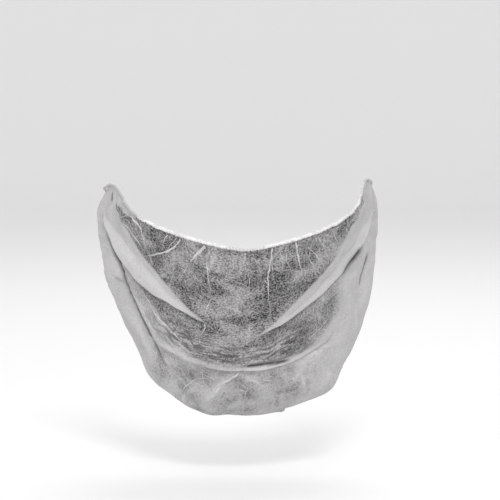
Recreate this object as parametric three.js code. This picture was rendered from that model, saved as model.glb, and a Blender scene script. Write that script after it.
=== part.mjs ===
// A disposable beard net in the form that it has when it is worn: a pouch of thin spunbond cloth that
// covers the mouth, jaw and chin, hung from both ears, with one gathered elastic hem round its whole
// opening. The cloth is one wall. It is built from swags, which are curves that run from the left ear
// under the face to the right ear, and from sections, which run across the swags from the upper hem,
// round the pouch, to the rear hem. Millimetres. X runs to the right as seen from the front, Y from the
// lip towards the nape, and Z up. The origin is the middle of the hem's front, where it lies on the
// upper lip.
import * as THREE from "three";

// Driving sizes
const LEFT_EAR_OUT = 93.5; // midline to the upper corner at each ear
const RIGHT_EAR_OUT = 91;
const EAR_BACK = 76; // lip to that corner, along Y
const EAR_RISE = 41; // lip to that corner, along Z
const EAR_LEAN = 2; // how much higher the right corner sits than the mean, and the left one lower
const LEFT_EAR_ROUND = 13; // height over which the pouch's side draws in to the corner
const RIGHT_EAR_ROUND = 17;
const END_DROP = 20; // gathered end of the cloth at each ear, along Z
const END_BACK = 15; // and along Y
const END_BULGE = 4; // how far that end bows out
const POUCH_HALF_WIDTH = 100; // midline to the widest place
const POUCH_DROP = 115.5; // lip to the bottom fold
const POUCH_DEPTH = 92; // lip to the back of the pouch
const WALL = 1; // thickness of the cloth
const HEM_RADIUS = 1.4; // gathered hem with the elastic in it
const HEM_GAP = 0.75; // between the hem and the cloth's edge
const GATHER_DEPTH = 0.8; // ruffles that the elastic makes beside the hem
const GATHER_PITCH = 15; // length of one ruffle along the hem
const GATHER_REACH = 14; // how far a ruffle runs into the cloth
const FAN_DEPTH = 1; // pleats that spread from the gathered end at each ear
const FAN_COUNT = 3;
const LAYER_PITCH = 1.7; // between the middles of two layers in a fold
const LAYER_RAMP = 16; // length over which the cloth rises to a fold or falls from it

// Each swag is one row. at is its share of the way round the cloth, from the upper hem (0) to the rear
// hem (1). fall and back are where it crosses the midline, as shares of POUCH_DROP and POUCH_DEPTH, and
// shift is how far it is off the midline there, as a share of POUCH_HALF_WIDTH. wrap says how late it
// turns back round the jaw. On each side it has its widest reach, as a share of POUCH_HALF_WIDTH, and
// two numbers for its shape from the front: middle, from 1 for a V to 3 for a flat U, and ends, from 1
// for slanting to 3 for upright. creased marks a sharp turn of the cloth.
const SWAGS = [
  {
    at: 0, fall: 0, back: 0, shift: 0.04, wrap: 1,
    left: [0.85, 0.9, 2.7], right: [0.86, 0.9, 3.3],
  },
  {
    at: 0.15, fall: 0.24, back: -0.045, shift: 0.05, wrap: 1.15,
    left: [0.915, 1.17, 2], right: [0.92, 1.18, 2.25],
  },
  {
    at: 0.33, fall: 0.5, back: -0.05, shift: 0.05, wrap: 1.4,
    left: [0.99, 1.18, 1.8], right: [0.96, 1.2, 1.8],
  },
  {
    at: 0.44, fall: 0.62, back: -0.03, shift: -0.03, wrap: 1.7,
    left: [1.015, 1.78, 1.92], right: [0.975, 1.9, 2.15],
  },
  {
    at: 0.52, fall: 0.69, back: 0, shift: -0.08, wrap: 1.9,
    left: [1.03, 2.2, 2], right: [0.985, 2.4, 2.4],
  },
  {
    at: 0.62, fall: 0.85, back: 0.07, shift: -0.05, wrap: 1.8,
    left: [1.03, 2.35, 1.84], right: [0.98, 2.7, 2.6],
  },
  {
    at: 0.72, fall: 0.99, back: 0.19, shift: -0.06, wrap: 1.85,
    left: [1.02, 2.4, 1.6], right: [0.98, 3.2, 2.3], creased: true,
  },
  {
    at: 0.86, fall: 0.95, back: 0.4, shift: -0.02, wrap: 1.5,
    left: [0.99, 2.3, 1.75], right: [0.955, 2.5, 2.2],
  },
  {
    at: 1, fall: 0.78, back: 0.61, shift: 0, wrap: 1.15,
    left: [0.92, 2.1, 2], right: [0.91, 2.1, 2],
  },
];
const MIDDLE_SOFT = 0.08; // rounding of a V at the midline, as a share of the reach

// Each fold laps the cloth over itself in three layers, with its foot below. at is the swag that it lies
// on. overlap is how far it laps, in millimetres, at each angle round from the midline: negative angles
// are on the left.
const FOLDS = [
  {
    at: 0.33,
    overlap: [
      { angle: -84, lap: 0 },
      { angle: -76, lap: 5 },
      { angle: -66, lap: 10 },
      { angle: -52, lap: 11.3 },
      { angle: -43, lap: 9.3 },
      { angle: -33, lap: 4.3 },
      { angle: -24, lap: 1.6 },
      { angle: -12, lap: 0 },
      { angle: 7, lap: 0 },
      { angle: 19, lap: 1.6 },
      { angle: 31, lap: 3.1 },
      { angle: 45, lap: 5.9 },
      { angle: 58, lap: 7.3 },
      { angle: 68, lap: 8 },
      { angle: 76, lap: 5 },
      { angle: 84, lap: 0 },
    ],
  },
  {
    at: 0.52,
    overlap: [
      { angle: -52, lap: 0 },
      { angle: -34, lap: 0.6 },
      { angle: -12, lap: 0.6 },
      { angle: 2, lap: 1.6 },
      { angle: 12, lap: 4 },
      { angle: 24, lap: 4 },
      { angle: 36, lap: 1.8 },
      { angle: 50, lap: 0 },
    ],
  },
];
const FOLD_ROOM = 0.15; // the most that a fold may take up of the way round the cloth
const FOLD_START = 1.5; // lap at which a fold's two turns are complete, so that its layers start to overlap

// Each dent or ridge follows a straight line on the flat cloth, from one angle and swag to another.
const CREASES = [
  { from: { angle: -62, at: 0.42 }, to: { angle: -33, at: 0.565 }, width: 5, height: -3 }, // left jaw valley
  { from: { angle: -74, at: 0.6 }, to: { angle: -50, at: 0.6 }, width: 5, height: 1.6 },
  // where the jaw part meets the lower part
  { from: { angle: -46, at: 0.62 }, to: { angle: -40, at: 0.66 }, width: 7, height: -2.6 },
  // right, under the long fold
  { from: { angle: 50, at: 0.41 }, to: { angle: 61, at: 0.41 }, width: 4.5, height: -2.6 },
  { from: { angle: 55, at: 0.49 }, to: { angle: 67, at: 0.505 }, width: 4.5, height: -2.2 },
  { from: { angle: 3, at: 0.54 }, to: { angle: -9, at: 0.66 }, width: 5, height: 1.6 }, // lower pouch
  { from: { angle: 5, at: 0.58 }, to: { angle: 15, at: 0.66 }, width: 5, height: 1.4 },
  { from: { angle: 33, at: 0.56 }, to: { angle: 20, at: 0.69 }, width: 6, height: 1.8 },
  { from: { angle: -30, at: 0.57 }, to: { angle: -20, at: 0.7 }, width: 6, height: -1.6 },
  { from: { angle: -14, at: 0.62 }, to: { angle: -25, at: 0.71 }, width: 6, height: 1.6 },
  // right corner of the bottom fold
  { from: { angle: 32, at: 0.69 }, to: { angle: 37, at: 0.72 }, width: 13, height: 5 },
  { from: { angle: -31, at: 0.7 }, to: { angle: -38, at: 0.72 }, width: 11, height: 3 }, // left corner
];

// The notch in the bottom fold, right of the middle, where one end of the fold lies over the other
const NOTCH_OUT = 34; // midline to the notch
const NOTCH_STEP = 2.6; // how much higher the fold is beyond it
const NOTCH_RUN = 5; // length over which it steps

// How finely the faceted cloth follows those forms
const COLUMNS = 76; // steps from ear to ear
const TURN_STEPS = 2; // steps in each half turn of a fold
const STRETCH_STEPS = [6, 3, 9]; // steps before, between and after the folds
const HEM_END_STEPS = 12; // steps of the hem round each ear end
const HEM_SIDES = 6;
const CREASE_STEPS = 10;

const { clamp, lerp, smoothstep, degToRad } = THREE.MathUtils;
const HALF_PI = Math.PI / 2;

// A number that each swag has, at any share of the way round: a smooth curve through the rows, with a
// corner at a creased one.
function swagValue(read, at) {
  const i = clamp(SWAGS.findLastIndex((row) => row.at <= at), 0, SWAGS.length - 2);
  const rowAt = (n) => SWAGS[clamp(n, 0, SWAGS.length - 1)];
  const [before, low, high, after] = [rowAt(i - 1), rowAt(i), rowAt(i + 1), rowAt(i + 2)];
  const rise = (a, b) => (read(b) - read(a)) / (b.at - a.at);
  const own = rise(low, high);
  const slopeLow = low.creased || before === low ? own : rise(before, high);
  const slopeHigh = high.creased || after === high ? own : rise(low, after);
  const span = high.at - low.at;
  const t = (at - low.at) / span;
  return (
    read(low) * (1 + 2 * t) * (1 - t) ** 2 +
    read(high) * (3 - 2 * t) * t ** 2 +
    span * (slopeLow * t * (1 - t) ** 2 - slopeHigh * (1 - t) * t ** 2)
  );
}

// How far the outline of a swag is from the middle of the line between the ears, in the direction of
// that turn from straight down, as a share of its reach and fall.
function swagRadius(turn, middle, ends) {
  const soft = MIDDLE_SOFT ** middle;
  const whole = Math.hypot(1, MIDDLE_SOFT) ** middle - soft;
  let [low, high] = [0.5, 1.5];
  for (let n = 0; n < 26; n++) {
    const radius = (low + high) / 2;
    const out = (Math.hypot(radius * Math.sin(turn), MIDDLE_SOFT) ** middle - soft) / whole;
    const down = (radius * Math.cos(turn)) ** ends;
    if (out + down > 1) high = radius;
    else low = radius;
  }
  return low;
}

// Where the swag at that share ends, at the ear on that side (-1 left, 1 right).
function earPoint(side, at) {
  const bow = END_BULGE * Math.sin(Math.PI * at);
  return new THREE.Vector3(
    side * ((side < 0 ? LEFT_EAR_OUT : RIGHT_EAR_OUT) + bow),
    EAR_BACK + END_BACK * at + bow,
    EAR_RISE + side * EAR_LEAN - END_DROP * at,
  );
}

// A point of the smooth pouch, before folds: angle is in degrees round from the midline, at picks the
// swag.
function smoothPoint(angle, at) {
  const side = angle < 0 ? -1 : 1;
  const turn = Math.min(Math.abs(degToRad(angle)), HALF_PI);
  const shapeOf = (row) => (side < 0 ? row.left : row.right);
  const [reachShare, middle, ends] = [0, 1, 2].map((n) => swagValue((row) => shapeOf(row)[n], at));
  const reach = POUCH_HALF_WIDTH * reachShare;
  const shift = POUCH_HALF_WIDTH * swagValue((row) => row.shift, at);
  const fall = HEM_RADIUS + HEM_GAP + POUCH_DROP * swagValue((row) => row.fall, at);
  const back = POUCH_DEPTH * swagValue((row) => row.back, at);
  const wrap = swagValue((row) => row.wrap, at);
  const ear = earPoint(side, at);
  const radius = swagRadius(turn, middle, ends);
  const out = radius * Math.sin(turn);
  const down = radius * Math.cos(turn);
  const height = ear.z + fall;
  const earRound = side < 0 ? LEFT_EAR_ROUND : RIGHT_EAR_ROUND;
  const belowEar = clamp((height * down) / earRound, 0, 1);
  const drawnIn = 1 - Math.sqrt(1 - (1 - belowEar) ** 2);
  const across = reach * out - (reach - Math.abs(ear.x)) * drawnIn;
  const beyondNotch = smoothstep(side * across, NOTCH_OUT - NOTCH_RUN / 2, NOTCH_OUT + NOTCH_RUN / 2);
  const nearBottom = Math.exp(-(((at - 0.72) / 0.06) ** 2)) * smoothstep(Math.cos(turn), 0.45, 0.75);
  return new THREE.Vector3(
    side * across + shift * down ** 2 * (1 - out),
    lerp(ear.y, back, Math.cos(turn) ** wrap),
    ear.z - height * down + NOTCH_STEP * beyondNotch * nearBottom,
  );
}

// The outward direction of the smooth pouch at that point.
function outward(angle, at) {
  const aside = 0.4;
  const along = 0.004;
  const middle = clamp(angle, -88, 88);
  const across = smoothPoint(middle + aside, at).sub(smoothPoint(middle - aside, at));
  const down = smoothPoint(middle, Math.min(at + along, 1)).sub(smoothPoint(middle, Math.max(at - along, 0)));
  return down.cross(across).normalize();
}

// Millimetres of cloth for one unit of at, there.
function clothLength(angle, at) {
  const along = 0.02;
  return smoothPoint(angle, at + along).distanceTo(smoothPoint(angle, at - along)) / (2 * along);
}

// How far a fold laps at that angle, from its table.
function lapAt(fold, angle) {
  const i = fold.overlap.findIndex((row) => row.angle > angle);
  if (i <= 0) return 0;
  const [low, high] = [fold.overlap[i - 1], fold.overlap[i]];
  return lerp(low.lap, high.lap, smoothstep(angle, low.angle, high.angle));
}

// The cross-section of a fold with that lap: points with run along the cloth and rise off it, both in
// millimetres from the fold's middle. The cloth turns back under itself and then forward again, in two
// arcs.
function foldSection(lap) {
  const turning = Math.PI * smoothstep(lap, 0, FOLD_START);
  const flat = Math.max(lap - FOLD_START, 0);
  const arc = (Math.PI * LAYER_PITCH) / 2 / TURN_STEPS;
  const points = [{ run: 0, rise: 0 }];
  const go = (heading, length) => {
    const from = points.at(-1);
    points.push({ run: from.run + length * Math.cos(heading), rise: from.rise - length * Math.sin(heading) });
  };
  for (let i = 0; i < TURN_STEPS; i++) go((turning * (i + 0.5)) / TURN_STEPS, arc);
  go(turning, flat + arc / 2);
  for (let i = TURN_STEPS - 1; i >= 0; i--) go((turning * (i + 0.5)) / TURN_STEPS, arc);
  const end = points.at(-1);
  return points.map((point) => ({ run: point.run - end.run / 2, rise: point.rise - end.rise / 2 }));
}

// The section of the cloth at that angle, from the upper hem to the rear hem: rows with at and rise.
function clothSection(angle) {
  const rows = [];
  let from = { at: 0, rise: 0, lap: 0 };
  const stretch = (to, steps, last) => {
    const length = clothLength(angle, (from.at + to.at) / 2) * (to.at - from.at);
    const sink = (fold, away) => fold.rise * (1 - smoothstep(away, fold.lap, fold.lap + LAYER_RAMP));
    for (let i = rows.length ? 1 : 0; i < steps + (last ? 1 : 0); i++) {
      const share = i / steps;
      const rise = sink(from, length * share) + sink(to, length * (1 - share));
      rows.push({ at: lerp(from.at, to.at, share), rise });
    }
  };
  FOLDS.forEach((fold, n) => {
    const scale = clothLength(angle, fold.at);
    const room = FOLD_ROOM * scale;
    const lap = clamp(room - 3 * LAYER_PITCH, 0, lapAt(fold, angle));
    const folded = foldSection(lap);
    const runs = folded.map(({ run }) => run);
    const fit = Math.min(1, room / (Math.max(...runs) - Math.min(...runs)));
    const points = folded.map(({ run, rise }) => ({ at: fold.at + (fit * run) / scale, rise, lap }));
    stretch(points[0], STRETCH_STEPS[n], false);
    rows.push(...points);
    from = points.at(-1);
  });
  const bottom = SWAGS.find((row) => row.creased);
  const steps = STRETCH_STEPS.at(-1);
  const upper = Math.round(steps / 2);
  stretch({ at: bottom.at, rise: 0, lap: 0 }, upper, false);
  from = { at: bottom.at, rise: 0, lap: 0 };
  rows.push(from);
  stretch({ at: 1, rise: 0, lap: 0 }, steps - upper, true);
  return rows;
}

// The ruffles beside the hem at that angle, this far from the hem along the cloth.
function gather(angle, fromHem) {
  const along = (degToRad(angle) * (RIGHT_EAR_OUT + EAR_BACK)) / 2;
  const wave = Math.sin((2 * Math.PI * along) / GATHER_PITCH + 1.3 * Math.sin(angle / 11));
  const fade = 1 - smoothstep(Math.abs(angle), 78, 88);
  return GATHER_DEPTH * wave * fade * Math.exp(-((fromHem / GATHER_REACH) ** 2)) * smoothstep(fromHem, -1, 3);
}

// The pleats that spread from each ear.
function fan(angle, at) {
  const window = smoothstep(Math.abs(angle), 48, 70) * (1 - smoothstep(Math.abs(angle), 72, 84));
  const front = 1 - smoothstep(at, 0.45, 0.62);
  const wave = Math.sin(2 * Math.PI * FAN_COUNT * (at + 0.04));
  return FAN_DEPTH * wave * window * front * smoothstep(at, 0, 0.1);
}

// The creases as short polylines on the smooth pouch.
const creaseLines = CREASES.map((crease) => ({
  ...crease,
  points: Array.from({ length: CREASE_STEPS + 1 }, (_, i) => {
    const share = i / CREASE_STEPS;
    return smoothPoint(
      lerp(crease.from.angle, crease.to.angle, share),
      lerp(crease.from.at, crease.to.at, share),
    );
  }),
}));

// How far the creases raise or dent the cloth at a point of the swag at that share.
function creaseRise(point, at) {
  const front = 1 - smoothstep(at, 0.72, 0.8);
  return creaseLines.reduce((sum, { points, width, height }) => {
    const strengths = points.map((on, i) => {
      const taper = Math.sin((Math.PI * (i + 1)) / (CREASE_STEPS + 2)) ** 0.7;
      return taper * Math.exp(-((point.distanceTo(on) / width) ** 2));
    });
    return sum + front * height * Math.max(...strengths);
  }, 0);
}

// The middle surface of the cloth as a grid: one array of points for each column, from the left ear to
// the right.
function clothGrid() {
  return Array.from({ length: COLUMNS + 1 }, (_, i) => {
    const share = (2 * i) / COLUMNS - 1;
    const angle = 90 * share * (1 + 0.2 * (1 - share ** 2));
    const section = clothSection(angle);
    const whole = clothLength(angle, 0.5);
    return section.map(({ at, rise }) => {
      const on = smoothPoint(angle, at);
      const ruffle = gather(angle, at * whole) + gather(angle, (1 - at) * whole);
      return on.addScaledVector(outward(angle, at), rise + ruffle + fan(angle, at) + creaseRise(on, at));
    });
  });
}

// Outward directions of a grid's own facets, averaged at each point.
function gridNormals(grid) {
  const pick = (i, j) => grid[clamp(i, 0, grid.length - 1)][clamp(j, 0, grid[0].length - 1)];
  return grid.map((column, i) =>
    column.map((_, j) => {
      const across = pick(i + 1, j).clone().sub(pick(i - 1, j)).normalize();
      const before = pick(i, j).clone().sub(pick(i, j - 1)).normalize();
      const after = pick(i, j + 1).clone().sub(pick(i, j)).normalize();
      const down = before.add(after);
      return down.cross(across).normalize();
    }),
  );
}

// A closed wall of even thickness over a grid of points.
function wallGeometry(grid, thickness) {
  const [columns, rows] = [grid.length, grid[0].length];
  const normals = gridNormals(grid);
  const positions = [];
  for (const face of [1, -1])
    for (let i = 0; i < columns; i++)
      for (let j = 0; j < rows; j++) {
        const point = grid[i][j].clone().addScaledVector(normals[i][j], (face * thickness) / 2);
        positions.push(...point.toArray());
      }
  const outer = (i, j) => i * rows + j;
  const inner = (i, j) => (columns + i) * rows + j;
  const index = [];
  const quad = (a, b, c, d) => index.push(a, b, c, a, c, d);
  for (let i = 0; i < columns - 1; i++)
    for (let j = 0; j < rows - 1; j++) {
      quad(outer(i, j), outer(i, j + 1), outer(i + 1, j + 1), outer(i + 1, j));
      quad(inner(i, j), inner(i + 1, j), inner(i + 1, j + 1), inner(i, j + 1));
    }
  for (let i = 0; i < columns - 1; i++) {
    quad(outer(i, 0), outer(i + 1, 0), inner(i + 1, 0), inner(i, 0));
    quad(outer(i + 1, rows - 1), outer(i, rows - 1), inner(i, rows - 1), inner(i + 1, rows - 1));
  }
  for (let j = 0; j < rows - 1; j++) {
    quad(outer(0, j + 1), outer(0, j), inner(0, j), inner(0, j + 1));
    quad(outer(columns - 1, j), outer(columns - 1, j + 1), inner(columns - 1, j + 1), inner(columns - 1, j));
  }
  const geometry = new THREE.BufferGeometry();
  geometry.setAttribute("position", new THREE.Float32BufferAttribute(positions, 3));
  geometry.setIndex(index);
  geometry.computeVertexNormals();
  return geometry;
}

// The hem's centre line: points beside the cloth's edge all round, moved out past it in the plane of the
// cloth.
function hemLine(grid) {
  const [last, lastRow] = [grid.length - 1, grid[0].length - 1];
  const beside = (i, j, ...inside) => {
    const edge = grid[i][j];
    const away = new THREE.Vector3();
    for (const [m, n] of inside) {
      away.add(edge.clone().sub(grid[m][n]).normalize());
    }
    const offset = (HEM_RADIUS + HEM_GAP) * (inside.length > 1 ? Math.SQRT2 : 1);
    return edge.clone().addScaledVector(away.normalize(), offset);
  };
  const alongRow = (j, inward) =>
    grid.map((_, i) => {
      const end = { 0: [1, j], [last]: [last - 1, j] }[i];
      return end ? beside(i, j, [i, j + inward], end) : beside(i, j, [i, j + inward]);
    });
  const alongEnd = (i, inward) =>
    Array.from({ length: HEM_END_STEPS }, (_, n) => {
      const j = Math.round(lerp(0, lastRow, (n + 1) / (HEM_END_STEPS + 1)));
      return beside(i, j, [i + inward, j]);
    });
  const upper = alongRow(0, 1);
  const rear = alongRow(lastRow, -1).reverse();
  return [...upper, ...alongEnd(last, -1), ...rear, ...alongEnd(0, 1).reverse()];
}

// A closed tube with faceted sides round a closed line of points.
function hemGeometry(centres) {
  const steps = centres.length;
  const near = (n) => centres[(n + steps) % steps];
  let across = new THREE.Vector3(0, 1, 0);
  const rings = centres.map((centre, n) => {
    const along = near(n + 1).clone().sub(near(n - 1)).normalize();
    across = across.clone().addScaledVector(along, -across.dot(along)).normalize();
    return { centre, across, up: along.clone().cross(across) };
  });
  const closing = Math.atan2(rings.at(-1).across.dot(rings[0].up), rings.at(-1).across.dot(rings[0].across));
  const positions = [];
  const index = [];
  rings.forEach(({ centre, across: x, up: y }, n) => {
    for (let k = 0; k < HEM_SIDES; k++) {
      const turn = (2 * Math.PI * k) / HEM_SIDES - (closing * n) / steps;
      const spot = centre.clone();
      spot.addScaledVector(x, HEM_RADIUS * Math.cos(turn)).addScaledVector(y, HEM_RADIUS * Math.sin(turn));
      positions.push(...spot.toArray());
      const corner = (ring, side) => (ring % steps) * HEM_SIDES + (side % HEM_SIDES);
      index.push(corner(n, k), corner(n, k + 1), corner(n + 1, k + 1));
      index.push(corner(n, k), corner(n + 1, k + 1), corner(n + 1, k));
    }
  });
  const geometry = new THREE.BufferGeometry();
  geometry.setAttribute("position", new THREE.Float32BufferAttribute(positions, 3));
  geometry.setIndex(index);
  geometry.computeVertexNormals();
  return geometry;
}

const spunbond = new THREE.MeshStandardMaterial({ color: 0xdcdbdb, roughness: 0.85, metalness: 0 });
const elastic = new THREE.MeshStandardMaterial({ color: 0xf4f4f3, roughness: 0.75, metalness: 0 });

const grid = clothGrid();
const net = new THREE.Group();

const pouch = new THREE.Mesh(wallGeometry(grid, WALL), spunbond);
pouch.name = "pouch";
net.add(pouch);

const hem = new THREE.Mesh(hemGeometry(hemLine(grid)), elastic);
hem.name = "elastic_hem";
net.add(hem);

export default net;
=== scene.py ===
# Disposable beard net as it is worn: a loose pouch of white spunbond cloth, and the gathered hem with
# the elastic in it that runs all round the pouch's opening.

import math

import bpy
import numpy as np
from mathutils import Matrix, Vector


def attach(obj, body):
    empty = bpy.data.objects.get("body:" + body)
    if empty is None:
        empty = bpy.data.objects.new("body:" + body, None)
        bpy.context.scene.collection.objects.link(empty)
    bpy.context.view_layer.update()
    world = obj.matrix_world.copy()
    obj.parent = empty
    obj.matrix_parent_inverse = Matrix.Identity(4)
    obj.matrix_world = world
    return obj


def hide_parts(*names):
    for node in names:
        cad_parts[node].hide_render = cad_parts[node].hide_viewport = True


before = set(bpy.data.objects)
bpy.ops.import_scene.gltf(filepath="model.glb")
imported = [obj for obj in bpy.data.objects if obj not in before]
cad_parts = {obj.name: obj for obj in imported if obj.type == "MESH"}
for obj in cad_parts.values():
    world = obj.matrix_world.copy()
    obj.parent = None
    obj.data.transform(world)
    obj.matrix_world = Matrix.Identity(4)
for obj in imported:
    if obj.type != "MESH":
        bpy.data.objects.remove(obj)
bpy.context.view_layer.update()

# Sizes of the net in millimetres, the same as the solid's
LEFT_EAR_OUT = 93.5  # midline to the upper end of the pouch
RIGHT_EAR_OUT = 91
EAR_BACK = 76  # lip to that end
EAR_RISE = 41
EAR_LEAN = 2  # the right end is higher than the middle by this, and the left end lower
LEFT_EAR_ROUND = 13  # height over which the pouch draws in to its end
RIGHT_EAR_ROUND = 17
END_DROP = 20  # the edge at each ear, from the upper hem to the rear hem
END_BACK = 15
END_BULGE = 4
POUCH_HALF_WIDTH = 100
POUCH_DROP = 115.5  # lip to the bottom fold
POUCH_DEPTH = 92  # lip to the back of the pouch
HEM_RADIUS = 1.4
HEM_GAP = 0.75  # between the hem and the solid cloth's edge
GATHER_DEPTH = 0.8  # broad ruffles beside the hem
GATHER_PITCH = 15
GATHER_REACH = 14
FAN_DEPTH = 1  # pleats that spread from each ear
FAN_COUNT = 3
FAN_IN = (48, 70)  # angles between which they come up towards the ear, and die out again
FAN_OUT = (72, 84)
FAN_BELOW = (0.45, 0.62)  # shares between which they end
EAR_FADE = (78, 88)  # angles between which ruffles die out towards an ear
LAYER_RAMP = 16  # length over which the cloth rises to a fold or falls from it
MIDDLE_SOFT = 0.08  # rounds a swag where it crosses the midline
FOLD_ROOM = 0.15  # share of the way that a fold may take up
FOLD_START = 1.5  # lap at which a fold has turned over
NOTCH_OUT = 34  # midline to the notch in the bottom fold
NOTCH_STEP = 2.6
NOTCH_RUN = 1.5  # width of its step
NOTCH_REACH = 0.06  # share of the way over which it fades

# What the cloth itself adds to those forms
CLOTH_WALL = 0.3  # a thin wall that stands for the cloth
LAYER_PITCH = 1.15  # between two layers of a fold
DOUBLED_LAPS = (0.4, 2)  # laps between which a fold comes to look doubled
LIP_SOFT = 0.8  # softens the edge of a doubled band
UNDER_BAND = 0.4  # how doubled a fold's inner layers look
PUCKER_DEPTH = 0.42  # small puckers that the elastic makes
PUCKER_PITCH = 5.2
PUCKER_REACH = 8
PLEAT_PITCH = 4.3  # short bunches of the hem's own cloth
PLEAT_DEPTH = 0.24
STITCH_PITCH = 2.3  # overedge stitches that hold the hem's elastic
STITCH_THREAD = 0.13  # radius of their thread
STITCH_SLANT = 0.9  # how far a stitch leans along the hem
STITCH_CLEAR = 0.02  # between the thread's middle line and the hem
STITCH_SWEEP = 200  # degrees of the hem that a stitch goes round
STITCH_VEIL_AND_SHADE_LIMIT = 0.55  # no stitch shows where the hem's veil and painted shade is more than this
HEM_LAP = 1.6  # how far the cloth runs on into the hem
EAR_HEIGHTS = (8, 18)  # between these heights the hem comes near the ears
RIDGE_SIDES = 6
RIDGE_WIDENING = 1.35  # of the radii in the table of ridges
RIDGE_SINK = 0.4  # share of a ridge's radius that lies in the cloth
HEM_SHARE = 0.012  # a ridge that starts before this share springs from the hem at full thickness
HEM_RIDGE_PITCH = 4.3  # degrees between the faint ridges along the hem
LOW_RIDGES = 46
FACE_RIDGES = 34
RIDGE_SEED = 7
CRUMPLES = 230
CRUMPLE_SEED = 41
HEM_CRUMPLE_PITCH = 5.4
SWELLS = 16
CHIN_AT = 0.43  # here the cloth is drawn out sideways under the mouth
CHIN_REACH = 0.055
CHIN_ANGLES = (22, 42)
LOW_SHARES = (0.52, 0.56)  # from here on it hangs in thin and thick patches
LOW_ANGLES = (28, 42)
HEM_SHADE_LEFT = (64, 76)  # millimetres off the midline between which painted shade greys the hem towards each ear; at the lip, cloth veils it
HEM_SHADE_RIGHT = (80, 89)
VEIL_LIP = (9, 16)
VEIL_LIP_MIDDLE = 3
MM = 0.001

COLUMNS = 392  # steps of the cloth from ear to ear
HALVINGS = 26  # of the range in which a swag's radius is sought
SLOPE_ANGLE = 0.4  # steps of angle and share over which the cloth's slope and length are measured
SLOPE_SHARE = 0.004
LENGTH_SHARE = 0.02
LAST_ANGLE = 88  # the slope there also serves nearer to the ears
TURN_STEPS = 4  # in each half turn of a fold
STRETCH_STEPS = (42, 18, 42)  # before, between and after the folds
BOTTOM_SHARE = 0.64  # share of the last stretch's steps that lie before the bottom fold
HEM_SIDES = 12
HEM_STEPS = 1500
HEM_SOFTENINGS = 6

# A swag is a curve of the cloth from the left ear under the face to the right ear. at is its share of
# the way round the cloth, from the upper hem (0) to the rear hem (1). fall and back are where it crosses
# the midline, and shift how far it is off the midline there. Each side has reach, middle and ends.
SWAGS = (
    (0, 0, 0, 0.04, 1, (0.85, 0.9, 2.7), (0.86, 0.9, 3.3)),
    (0.15, 0.24, -0.045, 0.05, 1.15, (0.915, 1.17, 2), (0.92, 1.18, 2.25)),
    (0.33, 0.5, -0.05, 0.05, 1.4, (0.99, 1.18, 1.8), (0.96, 1.2, 1.8)),
    (0.44, 0.62, -0.03, -0.03, 1.7, (1.015, 1.78, 1.92), (0.975, 1.9, 2.15)),
    (0.52, 0.69, 0, -0.08, 1.9, (1.03, 2.2, 2), (0.985, 2.4, 2.4)),
    (0.62, 0.85, 0.07, -0.05, 1.8, (1.03, 2.35, 1.84), (0.98, 2.7, 2.6)),
    (0.72, 0.99, 0.19, -0.06, 1.85, (1.02, 2.4, 1.6), (0.98, 3.2, 2.3)),
    (0.86, 0.95, 0.4, -0.02, 1.5, (0.99, 2.3, 1.75), (0.955, 2.5, 2.2)),
    (1, 0.78, 0.61, 0, 1.15, (0.92, 2.1, 2), (0.91, 2.1, 2)),
)
CREASED_SWAG = 6  # the bottom fold, where the cloth turns sharply
BOTTOM_AT = SWAGS[CREASED_SWAG][0]

# Each fold laps the cloth over itself. A row is angle and lap in millimetres.
FOLDS = (
    (0.33, ((-84, 0), (-76, 5), (-66, 10), (-52, 11.3), (-43, 9.3), (-33, 4.3), (-24, 1.6), (-12, 0),
            (7, 0), (19, 1.6), (31, 3.1), (45, 5.9), (58, 7.3), (68, 8), (76, 5), (84, 0))),
    (0.52, ((-52, 0), (-34, 0.5), (-12, 0.5), (4, 1.2), (12, 4), (22, 4), (32, 2), (42, 0))),
)

# Broad creases, each from one angle and share to another, with width and height in millimetres
BROAD_CREASES = (
    (-62, 0.42, -33, 0.565, 5, -3),
    (-74, 0.6, -50, 0.6, 5, 1.6),
    (-46, 0.62, -40, 0.66, 7, -2.6),
    (50, 0.41, 61, 0.41, 4.5, -2.6),
    (55, 0.49, 67, 0.505, 4.5, -2.2),
    (3, 0.54, -9, 0.66, 5, 1.6),
    (5, 0.58, 15, 0.66, 5, 1.4),
    (33, 0.56, 20, 0.69, 6, 1.8),
    (-30, 0.57, -20, 0.7, 6, -1.6),
    (-14, 0.62, -25, 0.71, 6, 1.6),
    (32, 0.69, 37, 0.72, 13, 5),
    (-31, 0.7, -38, 0.72, 11, 3),
)

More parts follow.
